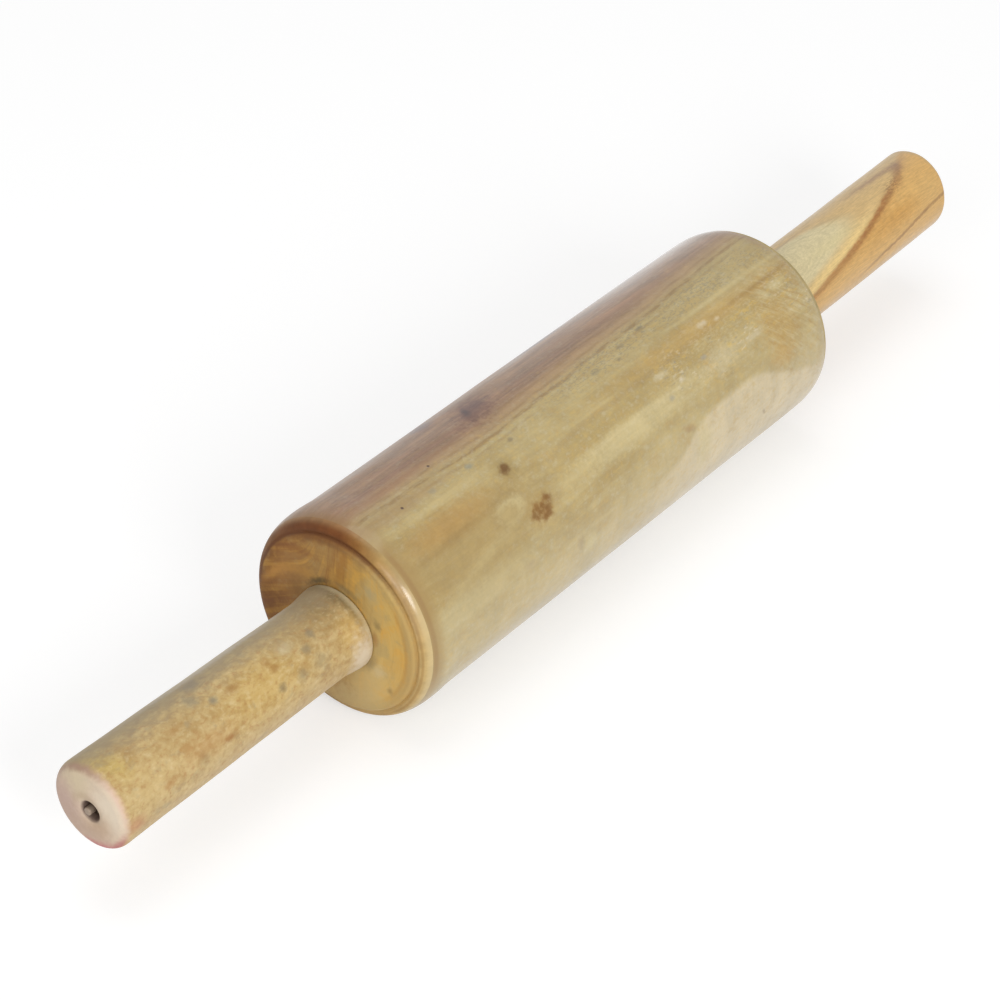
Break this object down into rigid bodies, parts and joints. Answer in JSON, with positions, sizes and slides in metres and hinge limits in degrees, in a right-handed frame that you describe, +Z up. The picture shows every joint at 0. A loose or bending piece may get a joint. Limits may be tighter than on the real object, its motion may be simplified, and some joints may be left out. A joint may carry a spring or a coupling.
{
  "type": "rolling pin",
  "caption": "Wooden rolling pin: a turned barrel with beaded ends that spins on a steel axle between fixed round wooden handles, for rolling out dough.",
  "frame": {"origin": "on the surface that the pin rests on, under the middle of the barrel", "axes": "+X along the axle from the near handle to the far handle, +Z up"},
  "size_m": [0.4, 0.0646, 0.0646],
  "materials": {
    "barrel_wood": "oiled, semi-gloss",
    "near_handle_wood": "oiled, worn satin",
    "far_handle_wood": "oiled, worn satin",
    "axle_steel": "drawn",
    "washer_steel": "satin",
    "bush_nylon": "matt"
  },
  "bodies": {
    "handles": {"axle_rod": "axle_steel", "near_handle": "near_handle_wood", "far_handle": "far_handle_wood", "near_washer": "washer_steel", "far_washer": "washer_steel"},
    "roller": {"barrel": "barrel_wood", "near_bush": "bush_nylon", "far_bush": "bush_nylon"}
  },
  "joints": [
    {"name": "barrel_spin", "type": "hinge", "parent": "handles", "child": "roller", "pos_m": [0, 0, 0.0323], "axis": [1, 0, 0], "continuous": true}
  ]
}
